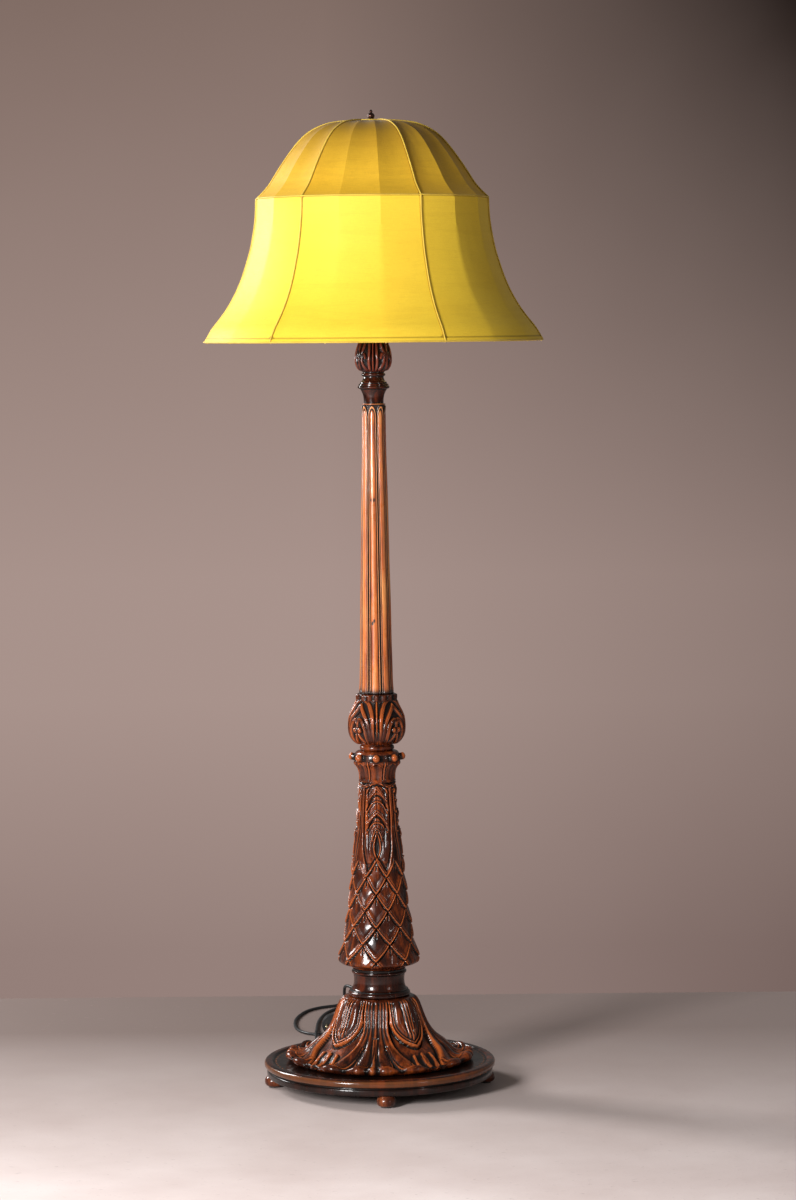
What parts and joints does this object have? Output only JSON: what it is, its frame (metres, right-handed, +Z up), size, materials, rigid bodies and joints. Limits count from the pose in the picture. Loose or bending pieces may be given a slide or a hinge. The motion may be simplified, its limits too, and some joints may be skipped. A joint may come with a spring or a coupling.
{
  "type": "floor lamp",
  "caption": "Turned and carved wooden candlestick floor lamp on bun feet, with a ribbed bell-shaped silk shade held by a harp, a finial and a mains lead",
  "frame": {"origin": "centre of the base on the floor", "axes": "+Z up along the shaft, -Y towards the front that was pictured, +X to the right seen from the front"},
  "size_m": [0.5982, 1.0489, 1.73],
  "materials": {
    "carved_wood": "reddish brown polished wood",
    "shaft_wood": "lighter orange brown polished wood",
    "foot_wood": "orange brown polished wood",
    "felt": "dark grey felt",
    "silk": "mustard yellow slub silk",
    "piping": "darker olive gold piping",
    "frame_wire": "cream lacquered wire",
    "brass": "polished brass",
    "dark_bronze": "dark patinated bronze",
    "steel": "zinc plated steel",
    "porcelain": "glazed white",
    "contact_brass": "plain brass",
    "knob_plastic": "black",
    "bulb_cap_metal": "bright thread",
    "opal_glass": "opal white",
    "lead_rubber": "black",
    "plug_plastic": "black",
    "tie_strap": "black strap",
    "pin_metal": "nickel plated"
  },
  "bodies": {
    "stand": {"felt_pads": "felt", "bun_feet": "foot_wood", "base_disc": "carved_wood", "acanthus_bell": "carved_wood", "neck_collar": "carved_wood", "scaled_shaft": "carved_wood", "berry_collar": "shaft_wood", "vase_knop": "carved_wood", "reeded_shaft": "shaft_wood", "cup_neck": "carved_wood", "tulip_cup": "carved_wood", "tie_pipe": "steel", "base_washer": "steel", "base_nut": "steel", "top_cap": "brass", "top_nut": "brass", "riser_tube": "brass", "harp_saddle": "brass", "holder_cap": "brass", "holder_shell": "brass", "holder_insulator": "porcelain", "thread_shell": "contact_brass", "centre_contact": "contact_brass", "lead_gland": "lead_rubber", "inner_lead": "lead_rubber", "lead_to_coil": "lead_rubber", "lead_coil": "lead_rubber", "coil_tie": "tie_strap", "lead_to_plug": "lead_rubber", "plug_relief": "plug_plastic", "plug_body": "plug_plastic", "plug_pins": "pin_metal"},
    "harp": {"harp": "brass"},
    "ferrule_left": {"ferrule_left": "brass"},
    "ferrule_right": {"ferrule_right": "brass"},
    "shade": {"shade_spider": "brass", "shade_ribs": "frame_wire", "waist_ring": "frame_wire", "hem_ring": "frame_wire", "dome_cover": "silk", "skirt_cover": "silk", "rib_trims": "piping", "waist_trim": "piping", "hem_trim": "piping"},
    "finial": {"finial": "dark_bronze"},
    "bulb": {"bulb_cap": "bulb_cap_metal", "bulb_glass": "opal_glass"},
    "switch": {"switch_knob": "knob_plastic"}
  },
  "joints": [
    {"name": "harp_lift", "type": "slide", "parent": "stand", "child": "harp", "axis": [0, 0, 1], "range_m": [0, 0.04]},
    {"name": "ferrule_left_slide", "type": "slide", "parent": "harp", "child": "ferrule_left", "axis": [0, 0, 1], "range_m": [0, 0.025]},
    {"name": "ferrule_right_slide", "type": "slide", "parent": "harp", "child": "ferrule_right", "axis": [0, 0, 1], "range_m": [0, 0.025]},
    {"name": "shade_turn", "type": "hinge", "parent": "harp", "child": "shade", "pos_m": [0, 0, 1.702], "axis": [0, 0, 1], "continuous": true},
    {"name": "finial_unscrew", "type": "slide", "parent": "harp", "child": "finial", "axis": [0, 0, 1], "range_m": [0, 0.03]},
    {"name": "bulb_unscrew", "type": "slide", "parent": "stand", "child": "bulb", "axis": [0, 0, 1], "range_m": [0, 0.028]},
    {"name": "switch_turn", "type": "hinge", "parent": "stand", "child": "switch", "pos_m": [0, -0.0235, 1.429], "axis": [0, -1, 0], "continuous": true}
  ]
}
